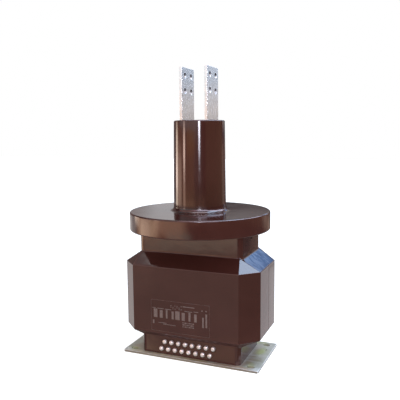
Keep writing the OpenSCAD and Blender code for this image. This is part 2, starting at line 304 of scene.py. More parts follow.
def noise(nt, tc, scale, detail=2.0, rough=0.5, stretch=None, distortion=0.0, offset=(0, 0, 0)):
    src = tc.outputs["Object"]
    if stretch or any(offset):
        mp = nt.nodes.new("ShaderNodeMapping")
        mp.inputs["Scale"].default_value = stretch or (1, 1, 1)
        mp.inputs["Location"].default_value = offset
        nt.links.new(src, mp.inputs[0])
        src = mp.outputs[0]
    n = nt.nodes.new("ShaderNodeTexNoise")
    n.inputs["Scale"].default_value = scale
    n.inputs["Detail"].default_value = detail
    n.inputs["Roughness"].default_value = rough
    n.inputs["Distortion"].default_value = distortion
    nt.links.new(src, n.inputs["Vector"])
    return n.outputs["Fac"]


def ramp(nt, fac, stops, interp="LINEAR"):
    r = nt.nodes.new("ShaderNodeValToRGB")
    r.color_ramp.interpolation = interp
    el = r.color_ramp.elements
    while len(el) > 1:
        el.remove(el[-1])
    for i, (p, c) in enumerate(stops):
        e = el[0] if i == 0 else el.new(p)
        e.position = p
        e.color = (*c, 1) if len(c) == 3 else c
    nt.links.new(fac, r.inputs[0])
    return r.outputs[0]


def mix(nt, fac, a, b, kind="MIX"):
    n = nt.nodes.new("ShaderNodeMix")
    n.data_type = "RGBA"
    n.blend_type = kind
    for sock, val in ((n.inputs[0], fac), (n.inputs[6], a), (n.inputs[7], b)):
        if hasattr(val, "is_linked"):
            nt.links.new(val, sock)
        elif isinstance(val, (int, float)):
            sock.default_value = val
        else:
            sock.default_value = (*val, 1)
    return n.outputs[2]


def maprange(nt, fac, a, b, c, d):
    n = nt.nodes.new("ShaderNodeMapRange")
    for k, v in zip(range(1, 5), (a, b, c, d)):
        n.inputs[k].default_value = v
    nt.links.new(fac, n.inputs[0])
    return n.outputs[0]


def math_node(nt, op, a, b=None):
    n = nt.nodes.new("ShaderNodeMath")
    n.operation = op
    for sock, val in ((n.inputs[0], a), (n.inputs[1], b)):
        if val is None:
            continue
        if hasattr(val, "is_linked"):
            nt.links.new(val, sock)
        else:
            sock.default_value = val
    return n.outputs[0]


def bump(nt, b, layers):
    last = None
    for height, dist, strength in layers:
        n = nt.nodes.new("ShaderNodeBump")
        n.inputs["Distance"].default_value = dist
        n.inputs["Strength"].default_value = strength
        nt.links.new(height, n.inputs["Height"])
        if last is not None:
            nt.links.new(last, n.inputs["Normal"])
        last = n.outputs[0]
    nt.links.new(last, b.inputs["Normal"])


def edge_mask(nt, lo, hi):
    g = nt.nodes.new("ShaderNodeNewGeometry")
    return maprange(nt, g.outputs["Pointiness"], lo, hi, 0.0, 1.0)


def make_resin(name, dark, light, rough_lo, rough_hi, chalk_and_sheen=0.0):
    m, nt, b, tc = nodes_for(name)
    cloud = noise(nt, tc, 7.0, 3, 0.55, distortion=0.4)
    fine = noise(nt, tc, 950.0, 2, 0.6)
    col = ramp(nt, cloud, [(0.30, dark), (0.72, light)])
    speck = ramp(nt, fine, [(0.0, (0.80, 0.80, 0.80)), (0.5, (1, 1, 1)), (0.72, (1.0, 1.0, 1.0)), (0.86, (1.9, 1.7, 1.6))])
    col = mix(nt, 1.0, col, speck, "MULTIPLY")
    # lighter flecks towards pale grey-brown: partly chalky dust, partly a painted highlight for light caught on the
    # raised relief
    if chalk_and_sheen:
        dust_and_sheen = ramp(nt, noise(nt, tc, 420.0, 3, 0.7), [(0.35, (0, 0, 0)), (0.7, (1, 1, 1))])
        col = mix(nt, maprange(nt, dust_and_sheen, 0, 1, 0.35 * chalk_and_sheen, chalk_and_sheen), col, (0.32, 0.25, 0.22))
    nt.links.new(col, b.inputs["Base Color"])
    smear = noise(nt, tc, 16.0, 4, 0.6, stretch=(1, 1, 0.45), distortion=0.8)
    sep = nt.nodes.new("ShaderNodeSeparateXYZ")
    nt.links.new(tc.outputs["Normal"], sep.inputs[0])
    under = maprange(nt, sep.outputs[2], -0.62, -0.30, 0.38, 0.0)
    rough = math_node(nt, "ADD", maprange(nt, smear, 0.3, 0.75, rough_lo, rough_hi), under)
    b.inputs["IOR"].default_value = 1.5
    wave = noise(nt, tc, 9.0, 1, 0.4, stretch=(1.0, 1.0, 0.35))
    swell = noise(nt, tc, 30.0, 2, 0.5, stretch=(1.0, 0.45, 1.0), distortion=0.5)
    peel = noise(nt, tc, 260.0, 2, 0.5)
    pos = nt.nodes.new("ShaderNodeSeparateXYZ")
    nt.links.new(tc.outputs["Object"], pos.inputs[0])
    # mould parting line down the two ends
    off = math_node(nt, "ABSOLUTE", math_node(nt, "SUBTRACT", pos.outputs[1], 0.0085))
    ends = maprange(nt, math_node(nt, "ABSOLUTE", pos.outputs[0]), 0.1885, 0.1905, 0.0, 1.0)
    seam = math_node(nt, "MULTIPLY", maprange(nt, off, 0.0008, 0.0014, 1.0, 0.0), ends)
    rough = math_node(nt, "ADD", rough, math_node(nt, "MULTIPLY", seam, 0.45))
    nt.links.new(maprange(nt, seam, 0.0, 1.0, 0.5, 0.2), b.inputs["Specular IOR Level"])
    # the slopes of the shoulders are a little more uneven than the sides
    high = math_node(nt, "MULTIPLY", maprange(nt, pos.outputs[2], 0.250, 0.258, 0.0, 1.0), maprange(nt, pos.outputs[2], 0.284, 0.290, 1.0, 0.0))
    flow = math_node(nt, "MULTIPLY", noise(nt, tc, 16.0, 2, 0.55, stretch=(1.0, 1.6, 1.0), distortion=0.8), high)
    # the hollow at the bushing's root is smoother
    root = math_node(nt, "MULTIPLY", maprange(nt, pos.outputs[2], 0.3925, 0.3945, 0.0, 1.0), maprange(nt, pos.outputs[2], 0.406, 0.425, 1.0, 0.0))
    calm = maprange(nt, root, 0.0, 1.0, 1.0, 0.05)
    nt.links.new(math_node(nt, "ADD", rough, math_node(nt, "MULTIPLY", root, 0.09)), b.inputs["Roughness"])
    wave, swell = math_node(nt, "MULTIPLY", wave, calm), math_node(nt, "MULTIPLY", swell, calm)
    bump(nt, b, [(wave, 0.0006, 0.5), (swell, 0.00028, 0.5), (flow, 0.0016, 0.5), (peel, 0.00003, 0.3), (seam, 0.00025, 1.0)])
    return m


def make_metal(name, base, alt, rough_lo, rough_hi, grain=None, scale=40.0, spots=None, bump_d=0.00004, metallic=1.0, painted_edge_highlight=None):
    m, nt, b, tc = nodes_for(name)
    b.inputs["Metallic"].default_value = metallic
    cloud = noise(nt, tc, scale, 4, 0.6, distortion=0.5)
    col = ramp(nt, cloud, [(0.3, base), (0.7, alt)])
    if spots:
        s = noise(nt, tc, spots[0], 3, 0.6)
        col = mix(nt, maprange(nt, s, 0.52, 0.66, 0, spots[2]), col, spots[1])
    # painted highlight: convex edges, found by pointiness, are coloured lighter
    if painted_edge_highlight:
        col = mix(nt, edge_mask(nt, 0.52, 0.60), col, painted_edge_highlight)
    nt.links.new(col, b.inputs["Base Color"])
    g = noise(nt, tc, 900.0 if grain else 300.0, 2, 0.6, stretch=grain)
    nt.links.new(maprange(nt, g, 0.3, 0.7, rough_lo, rough_hi), b.inputs["Roughness"])
    bump(nt, b, [(g, bump_d, 0.5)])
    return m


resin = make_resin("resin", (0.043, 0.0115, 0.0083), (0.056, 0.0165, 0.0122), 0.040, 0.105)
# relief and panel frame are coloured lighter than the casting: partly chalky dust, partly a painted highlight of light
# caught on the raised marks
resin_relief = make_resin("resin_relief", (0.060, 0.022, 0.017), (0.080, 0.032, 0.026), 0.34, 0.46, chalk_and_sheen=0.42)


resin_frame = make_resin("resin_frame", (0.058, 0.020, 0.016), (0.072, 0.027, 0.022), 0.24, 0.34, chalk_and_sheen=0.10)
# near-black resin for the side holes: painted shade inside the bores
resin_bore_painted_shade = make_resin("resin_bore_painted_shade", (0.010, 0.006, 0.005), (0.014, 0.008, 0.007), 0.45, 0.6)


def blob(nt, tc, x, y, rx, ry, turn, wobble, soft=0.5):
    """A soft spot round x, y (mm) with half axes rx, ry, turned by turn degrees and frayed by a noise output."""
    mp = nt.nodes.new("ShaderNodeMapping")
    mp.vector_type = "TEXTURE"
    mp.inputs["Location"].default_value = (x * MM, y * MM, 0)
    mp.inputs["Rotation"].default_value = (0, 0, math.radians(turn))
    mp.inputs["Scale"].default_value = (rx * MM, ry * MM, 1)
    nt.links.new(tc.outputs["Object"], mp.inputs[0])
    sep = nt.nodes.new("ShaderNodeSeparateXYZ")
    nt.links.new(mp.outputs[0], sep.inputs[0])
    r2 = math_node(nt, "ADD", math_node(nt, "MULTIPLY", sep.outputs[0], sep.outputs[0]), math_node(nt, "MULTIPLY", sep.outputs[1], sep.outputs[1]))
    r = math_node(nt, "ADD", math_node(nt, "SQRT", r2), math_node(nt, "MULTIPLY", math_node(nt, "SUBTRACT", wobble, 0.5), 1.5))
    return maprange(nt, r, 1.0 - soft, 1.0 + soft, 1.0, 0.0)


def make_zinc():
    m, nt, b, tc = nodes_for("zinc_plate")
    b.inputs["Metallic"].default_value = 0.35
    pos = nt.nodes.new("ShaderNodeSeparateXYZ")
    nt.links.new(tc.outputs["Object"], pos.inputs[0])
    cloud = noise(nt, tc, 14.0, 4, 0.6, distortion=0.8)
    col = ramp(nt, cloud, [(0.30, (0.44, 0.41, 0.32)), (0.50, (0.51, 0.48, 0.39)), (0.68, (0.57, 0.54, 0.45))])
    fray = noise(nt, tc, 32.0, 5, 0.65, distortion=1.2)
    fine = noise(nt, tc, 120.0, 4, 0.65)
    # yellow-green passivation spots, olive bands and pale corners; the two dark brown spots right of the foot are
    # painted shade under the block's overhang, and the brown spot left of the foot is a painted reflection of the
    # casting
    for x, y, rx, ry, turn, c, k in ((167, 26, 13, 28, -10, (0.42, 0.44, 0.17), 0.85), (-169, -77, 17, 12, 20, (0.56, 0.62, 0.32), 0.85),
                                     (159, -32, 13, 34, 4, (0.23, 0.20, 0.14), 0.85), (163, -62, 10, 18, 30, (0.44, 0.42, 0.18), 0.6),
                                     (-154, 80, 26, 14, 0, (0.50, 0.50, 0.24), 0.6), (20, 92, 60, 7, 0, (0.46, 0.44, 0.22), 0.6),
                                     (154, 88, 20, 9, 15, (0.46, 0.48, 0.24), 0.6), (186, -89, 18, 12, 30, (0.90, 0.87, 0.80), 0.9),
                                     (-186, -90, 18, 12, 20, (0.90, 0.86, 0.82), 0.9), (182, 60, 9, 34, 0, (0.62, 0.58, 0.52), 0.5),
                                     (170, -28, 14, 27, 0, (0.27, 0.22, 0.12), 0.85), (-169, -56, 10, 16, 0, (0.48, 0.35, 0.24), 0.55)):
        col = mix(nt, math_node(nt, "MULTIPLY", blob(nt, tc, x, y, rx, ry, turn, fray), k), col, c)
    # painted shade and painted reflection of the brown casting in the strip under the block's overhang round the foot;
    # the pale one along the front is a painted highlight
    for x, y, rx, ry, turn, c, k in ((-153, -20, 15, 64, 6, (0.36, 0.22, 0.13), 0.85), (151, -60, 8, 30, -18, (0.30, 0.20, 0.12), 0.65),
                                     (-70, -91, 90, 9, 0, (0.92, 0.78, 0.52), 0.8), (20, -90, 34, 7, 0, (0.44, 0.32, 0.15), 0.85),
                                     (120, -92, 54, 8, 2, (0.62, 0.41, 0.24), 0.75), (154, 20, 7, 60, 0, (0.32, 0.20, 0.12), 0.3),
                                     (0, 89, 150, 5, 0, (0.32, 0.20, 0.12), 0.35), (-150, 54, 7, 40, 0, (0.32, 0.20, 0.12), 0.35)):
        col = mix(nt, math_node(nt, "MULTIPLY", blob(nt, tc, x, y, rx, ry, turn, fray), k), col, c)
    # pale wiped streaks and dark specks
    streak = noise(nt, tc, 26.0, 5, 0.7, stretch=(0.35, 2.2, 1.0), distortion=0.6)
    col = mix(nt, maprange(nt, streak, 0.50, 0.66, 0.0, 0.40), col, (0.68, 0.65, 0.60))
    col = mix(nt, maprange(nt, fine, 0.60, 0.74, 0.0, 0.55), col, (0.24, 0.20, 0.14))
    # painted shade on the plate's side faces all round; a painted highlight line along the rim of the top face
    face = nt.nodes.new("ShaderNodeSeparateXYZ")
    nt.links.new(tc.outputs["Normal"], face.inputs[0])
    rim = math_node(nt, "MAXIMUM", maprange(nt, math_node(nt, "ABSOLUTE", pos.outputs[0]), 0.1920, 0.1925, 0.0, 1.0),
                    maprange(nt, math_node(nt, "ABSOLUTE", pos.outputs[1]), 0.0955, 0.0960, 0.0, 1.0))
    cut = math_node(nt, "MULTIPLY", rim, maprange(nt, math_node(nt, "ABSOLUTE", face.outputs[1]), 0.55, 0.85, 0.0, 0.9))
    col = mix(nt, cut, col, mix(nt, fine, (0.13, 0.10, 0.075), (0.20, 0.16, 0.12)))
    side_x_painted_shade = math_node(nt, "MULTIPLY", rim, maprange(nt, math_node(nt, "ABSOLUTE", face.outputs[0]), 0.55, 0.85, 0.0, 0.85))
    col = mix(nt, side_x_painted_shade, col, mix(nt, fine, (0.24, 0.23, 0.21), (0.34, 0.32, 0.29)))
    # painted highlight: the top face is coloured lighter along the rim
    flat = maprange(nt, face.outputs[2], 0.3, 0.6, 0.0, 1.0)
    painted_edge_highlight = math_node(nt, "MULTIPLY", flat,
                     math_node(nt, "MAXIMUM", maprange(nt, math_node(nt, "ABSOLUTE", pos.outputs[0]), 0.1902, 0.1924, 0.0, 1.0),
                               maprange(nt, math_node(nt, "ABSOLUTE", pos.outputs[1]), 0.0937, 0.0959, 0.0, 1.0)))
    col = mix(nt, math_node(nt, "MULTIPLY", painted_edge_highlight, 0.8), col, (0.86, 0.83, 0.78))
    nt.links.new(col, b.inputs["Base Color"])
    g = noise(nt, tc, 500.0, 3, 0.6, stretch=(0.15, 1, 1))
    nt.links.new(maprange(nt, math_node(nt, "ADD", g, math_node(nt, "MULTIPLY", fray, 0.6)), 0.45, 1.1, 0.26, 0.50), b.inputs["Roughness"])
    bump(nt, b, [(noise(nt, tc, 30.0, 2, 0.5), 0.0004, 0.2), (g, 0.00004, 0.4)])
    return m


zinc = make_zinc()
# tinned copper and nickel both get a painted highlight along their edges
tinned = make_metal("tinned_copper", (0.74, 0.74, 0.75), (0.80, 0.80, 0.82), 0.20, 0.32, grain=(1, 1, 0.05), scale=24.0,
                    spots=(120.0, (0.46, 0.45, 0.45), 0.35), painted_edge_highlight=(0.86, 0.87, 0.9))
def make_bore_painted_shade():
    m, nt, b, tc = nodes_for("tinned_bore_painted_shade")
    b.inputs["Metallic"].default_value = 0.3
    b.inputs["Roughness"].default_value = 0.4
    face = nt.nodes.new("ShaderNodeSeparateXYZ")
    nt.links.new(tc.outputs["Normal"], face.inputs[0])
    # painted shade on the downward-facing upper wall of each hole, painted light on the upward-facing lower wall
    nt.links.new(mix(nt, maprange(nt, face.outputs[2], -0.35, 0.25, 0.0, 1.0), (0.07, 0.06, 0.07), (0.90, 0.91, 0.94)), b.inputs["Base Color"])
    return m


tinned_bore_painted_shade = make_bore_painted_shade()
nickel = make_metal("nickel", (0.90, 0.86, 0.86), (0.95, 0.92, 0.93), 0.30, 0.42, scale=300.0, spots=(700.0, (0.50, 0.44, 0.42), 0.4), painted_edge_highlight=(0.95, 0.92, 0.9))
washer = make_metal("washer_zinc", (0.42, 0.38, 0.35), (0.52, 0.48, 0.45), 0.40, 0.55, scale=300.0)
# side inserts coloured near black: painted shade in the side holes
brass_painted_shade = make_metal("brass_painted_shade", (0.045, 0.035, 0.022), (0.07, 0.05, 0.03), 0.5, 0.7, scale=120.0, metallic=0.5)
brass = make_metal("brass", (0.60, 0.42, 0.18), (0.66, 0.48, 0.24), 0.25, 0.4, scale=120.0)
steel = make_metal("fastener_steel", (0.42, 0.42, 0.42), (0.52, 0.52, 0.52), 0.3, 0.45, scale=120.0)
copper = make_metal("copper", (0.62, 0.28, 0.16), (0.52, 0.22, 0.12), 0.3, 0.45, grain=(0.05, 1, 1), scale=60.0)
winding = make_metal("winding_copper", (0.40, 0.13, 0.05), (0.52, 0.20, 0.09), 0.25, 0.4, grain=(12, 1, 1), scale=200.0, metallic=0.7)
core_steel = make_metal("core_steel", (0.24, 0.25, 0.27), (0.34, 0.35, 0.37), 0.35, 0.5, grain=(0.05, 4, 4), scale=80.0)
board = make_metal("pressboard", (0.50, 0.36, 0.18), (0.58, 0.44, 0.25), 0.7, 0.9, scale=400.0, metallic=0.0, bump_d=0.0001)
wire = make_metal("lead_insulation", (0.04, 0.05, 0.22), (0.07, 0.08, 0.30), 0.45, 0.6, scale=300.0, metallic=0.0)

for names, mat in ((("core_1", "core_2", "core_3", "core_4"), core_steel), (("winding_1", "winding_2", "winding_3", "winding_4"), winding),
                   (("core_spacers",), board), (("secondary_leads",), wire), (("primary_link",), copper),
                   (("link_washers", "link_nuts", "base_screws"), steel), (("terminal_inserts", "base_inserts"), brass), (("side_inserts",), brass_painted_shade)):
    for n in names:
        NODES[n].material_slots[0].material = mat

# ------------------------------------------------------------------ the casting
FW, FD = 142.0, 84.0                  # foot, half sizes
HW, HD, CR = 145.5, 81.0, 15.0        # neck, half sizes; corner radius of foot and neck
BW, BD, BC, ER = 191.5, 114.5, 44.0, 3.0  # block, half sizes, chamfer leg and edge radius
LOW = (140.0, 76.5, 52.0, 76.0)       # outline (half sizes) and height in which the lower slopes end, height where they start
HIGH = (140.5, 81.0, 286.0, 254.0)    # the same for the upper slopes
NA = 6                                # steps in each half of a corner


def spread(limit, n):
    t = np.linspace(-limit, limit, n + 1)
    return np.tan(t) / math.tan(limit)


US_SIDE = spread(math.atan((HD - CR) / HW), 34)
US_FRONT = spread(math.atan((HW - CR) / HD), 84)


def ring_from(hw, hd, side_half, front_half, corner):
    """Counter-clockwise ring from the middle of the right side; corner gives one corner's points for the back right."""
    arc = corner()
    pts = [(hw, u * side_half) for u in US_SIDE[1:-1]]
    pts += arc
    pts += [(-u * front_half, hd) for u in US_FRONT[1:-1]]
    pts += [(-x, y) for x, y in arc[::-1]]
    pts += [(-hw, -u * side_half) for u in US_SIDE[1:-1]]
    pts += [(-x, -y) for x, y in arc]
    pts += [(u * front_half, -hd) for u in US_FRONT[1:-1]]
    pts += [(x, -y) for x, y in arc[::-1]]
    return np.array(pts)


def rect_ring(w, d, r, split=45.0):
    """Rounded rectangle; the two halves of the points round a corner part at the angle split."""
    def corner():
        turn = list(np.linspace(0, split - 0.3, NA + 1)) + list(np.linspace(split + 0.3, 90, NA + 1))
        return [(w - r + r * math.cos(math.radians(a)), d - r + r * math.sin(math.radians(a))) for a in turn]
    return ring_from(w, d, d - r, w - r, corner)


def octagon_ring(w, d, c, r):
    t = r * math.tan(math.radians(22.5))
    def corner():
        out = []
        for k in range(NA + 1):
            a = math.radians(45.0 * k / NA)
            out.append((w - r + r * math.cos(a), d - c - t + r * math.sin(a)))
        for k in range(NA + 1):
            a = math.radians(45.0 + 45.0 * k / NA)
            out.append((w - c - t + r * math.cos(a), d - r + r * math.sin(a)))
        return out
    return ring_from(w, d, d - c - t, w - c - t, corner)


def shoulder_ring():
    """The neck's outline along its straight sides; round each corner it runs out to the point where three slopes meet."""
    w, d = HIGH[0], HIGH[1]
    def corner():
        side = [(HW, HD - CR + q) for q in (0, 2.6, 5.2, 7.8, 10.0)] + [(HW - 2.3, HD - 2.5), (w + 0.1, d - 0.05)]
        return side + [(HW - CR + (w - HW + CR) * q, d) for q in (0.985, 0.92, 0.80, 0.64, 0.45, 0.25, 0)]
    return ring_from(HW, HD, HD - CR, HW - CR, corner)


def slope_z(ring, outline):
    """Height of the block's sloping faces over (or under) each point of a ring."""
    w, d, z0, z1 = outline
    x, y = np.abs(ring[:, 0]), np.abs(ring[:, 1])
    reach = np.stack([(x - w) / (BW - w), (y - d) / (BD - d), (x + y - w - d) / (BW + BD - BC - w - d)])
    return z0 + (z1 - z0) * reach.max(0)


NECK = rect_ring(HW, HD, CR)
FOOT = rect_ring(FW, FD, CR, math.degrees(math.atan2(LOW[1] - FD + CR, LOW[0] - FW + CR)))
SHOULDER = shoulder_ring()
POLAR = np.arctan2(NECK[:, 1], NECK[:, 0])
OUT = np.linalg.norm(SHOULDER - NECK, axis=1)  # how far the shoulder reaches out at each point
LEDGE = np.clip(OUT / 1.0, 0, 1)               # 0 along the straight sides, 1 round the corners
FOOT_TURN = np.clip(np.minimum(np.abs(FOOT[:, 0]) - FW + CR, np.abs(FOOT[:, 1]) - FD + CR) / 3.0, 0, 1)


def circle_ring(r):
    return np.stack([r * np.cos(POLAR), r * np.sin(POLAR)], 1)


def at(ring, z):
    return np.concatenate([ring, np.broadcast_to(np.asarray(z, float), (len(ring),))[:, None]], 1)


def fillet_rows(p0, p1, p2, rho, n):
    """Rounds the ring p1 between its neighbours; where the three lie in one line it stays as it is."""
    rho = np.broadcast_to(np.asarray(rho, float), (len(p1),))
    a, b = p0 - p1, p2 - p1
    a /= np.linalg.norm(a, axis=1, keepdims=True)
    b /= np.linalg.norm(b, axis=1, keepdims=True)
    half = np.arccos(np.clip((a * b).sum(1), -1, 1)) / 2
    bent = (half < math.radians(88.5)) & (rho > 0.02)
    half = np.where(bent, half, 1.0)
    t = (rho / np.tan(half))[:, None]
    s = np.where(bent[:, None], a + b, 1.0)
    c = p1 + s / np.linalg.norm(s, axis=1, keepdims=True) * (rho / np.sin(half))[:, None]
    v0, v1 = p1 + a * t - c, p1 + b * t - c
    om = (math.pi - 2 * half)[:, None]
    rows = []
    for q in np.linspace(0, 1, n + 1):
        flat = p1 + (a * (1 - 2 * q) if q < 0.5 else b * (2 * q - 1)) * 0.25
        rows.append(np.where(bent[:, None], c + (np.sin((1 - q) * om) * v0 + np.sin(q * om) * v1) / np.sin(om), flat))
    return rows


def build_casting():
    small = np.minimum(1.0, 0.30 * OUT)
    levels = [
        (at(FOOT, 6.0), 0, 0),
        (at(FOOT, slope_z(FOOT, LOW)), 4.0 - 2.4 * FOOT_TURN, 5),
        (at(octagon_ring(BW, BD, BC, ER), 76.0), 3.0, 6),
        (at(octagon_ring(BW, BD, BC, ER), 254.0), 3.0, 6),
        (at(SHOULDER, slope_z(SHOULDER, HIGH)), 4.5 - 4.1 * LEDGE, 6),
        (at(NECK, slope_z(NECK, HIGH) + 4.0 * (1 - LEDGE)), small, 3),
        (at(NECK, 345.0), 5.0, 6),
        (at(circle_ring(190.0), 345.0), 3.0, 6),
        (at(circle_ring(190.0), 393.5), 4.0, 8),
        (at(circle_ring(71.0), 393.5), 12.0, 14),
        (at(circle_ring(68.0), 634.0), 3.0, 8),
        (at(circle_ring(1e-3), 634.0), 0, 0),
    ]
    rows = [levels[0][0]]
    for k in range(1, len(levels) - 1):
        p, rho, n = levels[k]
        rows += fillet_rows(levels[k - 1][0], p, levels[k + 1][0], rho, n)
    n = len(NECK)
    verts = np.concatenate(rows)
    faces = [(k * n + i, k * n + (i + 1) % n, (k + 1) * n + (i + 1) % n, (k + 1) * n + i) for k in range(len(rows) - 1) for i in range(n)]
    faces.append(tuple(range(n))[::-1])
    top = (len(rows) - 1) * n
    faces.append(tuple(top + i for i in range(n)))
    return new_object("cast_resin_body", verts, faces, (resin, resin_relief, resin_bore_painted_shade))


casting = build_casting()

# sunk seats round the terminals, and the holes in the ends of the neck
TERM = [(-1.25 + (j // 2 - 3.5) * 20 + (-10 if j % 2 == 0 else 0), 21.0 if j % 2 == 0 else 41.0) for j in range(16)]
FACE_Y = -84.0
cut = []
for x, z in TERM:
    v, f = lathe([(8.0, -1.5), (8.0, -0.35), (8.35, 0.0), (8.8, 0.6)], 40)
    cut.append((to_minus_y(v, x, FACE_Y, z), f))
v, f = merge(cut)
boolean(casting, new_object("seat_cutter", v, f, (resin,)))
cut = []
for s in (-1, 1):
    v, f = lathe([(0, 0), (14 / 2 + 0.01, 0), (14 / 2 + 0.01, 22.0), (4.0, 22.0), (4.0, 24.6), (4.5, 25.2), (5.0, 26.0)], 40)
    v = np.asarray(v)
    # along +X from x = 121.5, mirrored for the left end
    w = np.stack([s * (121.5 + v[:, 2]), v[:, 0], 326.0 + v[:, 1]], 1)
    cut.append((w, f))
v, f = merge(cut)
boolean(casting, new_object("insert_cutter", v, f, (resin,)))


# ------------------------------------------------------------------ moulded relief on the front face
def stroke(x0, z0, x1, z1, h=0.8, f=0.35, r=0.5):
    w, d = x1 - x0, z1 - z0
    r = min(r, 0.45 * w, 0.45 * d)
    v, q = slab(rounded_polygon([(x0, z0), (x1, z0), (x1, z1), (x0, z1)], r, 3), [], -1.0, h, 0.0, f, 3)
    v = np.asarray(v)
    return np.stack([v[:, 0], -BD - v[:, 2], v[:, 1]], 1), q


def relief_strokes():
    out = []
    bars = [(-87, 10.5), (-69.5, 8.6), (-51.5, 4.8), (-35, 6.2), (-24.5, 12.6), (-6, 8.6), (13.2, 5.4), (28.8, 7.2)]
    for i, (x, w) in enumerate(bars):
        out.append(stroke(x, 119.0, x + w, 142.2 if i % 2 == 0 else 140.0))
    for x, w, z in ((-91, 9.5, 143.6), (-76, 18.5, 143.2), (-54, 18.0, 142.9), (2, 22, 143.6), (27.5, 13, 145.0)):
        out.append(stroke(x, z, x + w, z + 1.9))
    for i in range(6):
        for k in range(3):
            if (i + k) % 3:
                out.append(stroke(-38 + i * 5.8, 146.2 + k * 4.1, -38 + i * 5.8 + 3.0, 146.2 + k * 4.1 + 2.0))
    out.append(stroke(-3.2, 155.2, 30, 157.3))
    out.append(stroke(-90, 101.5, -85.6, 111.6))
    out.append(stroke(-74.5, 105.0, -50, 106.4))
    out.append(stroke(-60, 101.6, -24, 103.4))
    for i in range(6):
        for k in range(3):
            out.append(stroke(-4 + i * 5.6, 101.2 + k * 5.2, -4 + i * 5.6 + (4.2 if (i + k) % 2 else 2.8), 101.2 + k * 5.2 + 3.2))
    out.append(stroke(51, 107, 55.6, 134))
    out.append(stroke(60, 108, 64.6, 143.5))
    out.append(stroke(49.4, 149.6, 52.4, 152.6))
    out.append(stroke(60.2, 149.6, 63.4, 152.8))
    return out


def panel_frame():
    x0, x1, z0, z1, w = -95.0, 71.0, 82.0, 167.0, 1.1
    v, q = slab(rounded_polygon([(x0, z0), (x1, z0), (x1, z1), (x0, z1)], 2.5, 4),
                [rounded_polygon([(x0 + w, z0 + w), (x1 - w, z0 + w), (x1 - w, z1 - w), (x0 + w, z1 - w)], 1.6, 4)], -1.0, 0.45, 0.0, 0.3, 3)
    v = np.asarray(v)
    return np.stack([v[:, 0], -BD - v[:, 2], v[:, 1]], 1), q


v, f = merge(relief_strokes())
boolean(casting, new_object("relief_cutter", v, f, (resin_relief,)), "UNION", transfer=True)
v, f = panel_frame()
boolean(casting, new_object("panel_cutter", v, f, (resin_frame,)), "UNION", transfer=True)
# faces round the side holes get the near-black resin: painted shade in the bores
for poly in casting.data.polygons:
    c = poly.center / MM
    if 121.5 < abs(c.x) < 145.48 and math.hypot(c.y, c.z - 326) < 7.5:
        poly.material_index = 2
finish_mesh(casting)
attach(casting, "root")
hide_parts("cast_body")


# ------------------------------------------------------------------ base plate
def build_plate():
    outer = rounded_polygon([(-193.5, -97), (193.5, -97), (193.5, 97), (-193.5, 97)], 6.0, 8)
    holes = [slot_outline(sx * 168, sy * 76.5, 21, 13) for sx in (-1, 1) for sy in (-1, 1)]
    holes += [circle_outline(sx * 115, sy * 50, 5.25, 40) for sx in (-1, 1) for sy in (-1, 1)]
    holes.append(circle_outline(176, 42, 3.4, 32))
    v, f = slab(outer, holes, 0.0, 6.0, 0.7, 0.7, 3, hole_f=0.5)
    ob = new_object("zinc_base_plate", v, f, (zinc,))
    cut = []
    for sx in (-1, 1):
        for sy in (-1, 1):
            v, f = lathe([(9.76, -0.5), (9.26, 0.0), (5.0, 4.26), (0, 4.3)], 48)
            cut.append((np.asarray(v) + np.array([sx * 115, sy * 50, 0]), f))
    v, f = merge(cut)
    boolean(ob, new_object("sink_cutter", v, f, (zinc,)))
    finish_mesh(ob)
    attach(ob, "root")
    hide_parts("base_plate")
    return ob


build_plate()


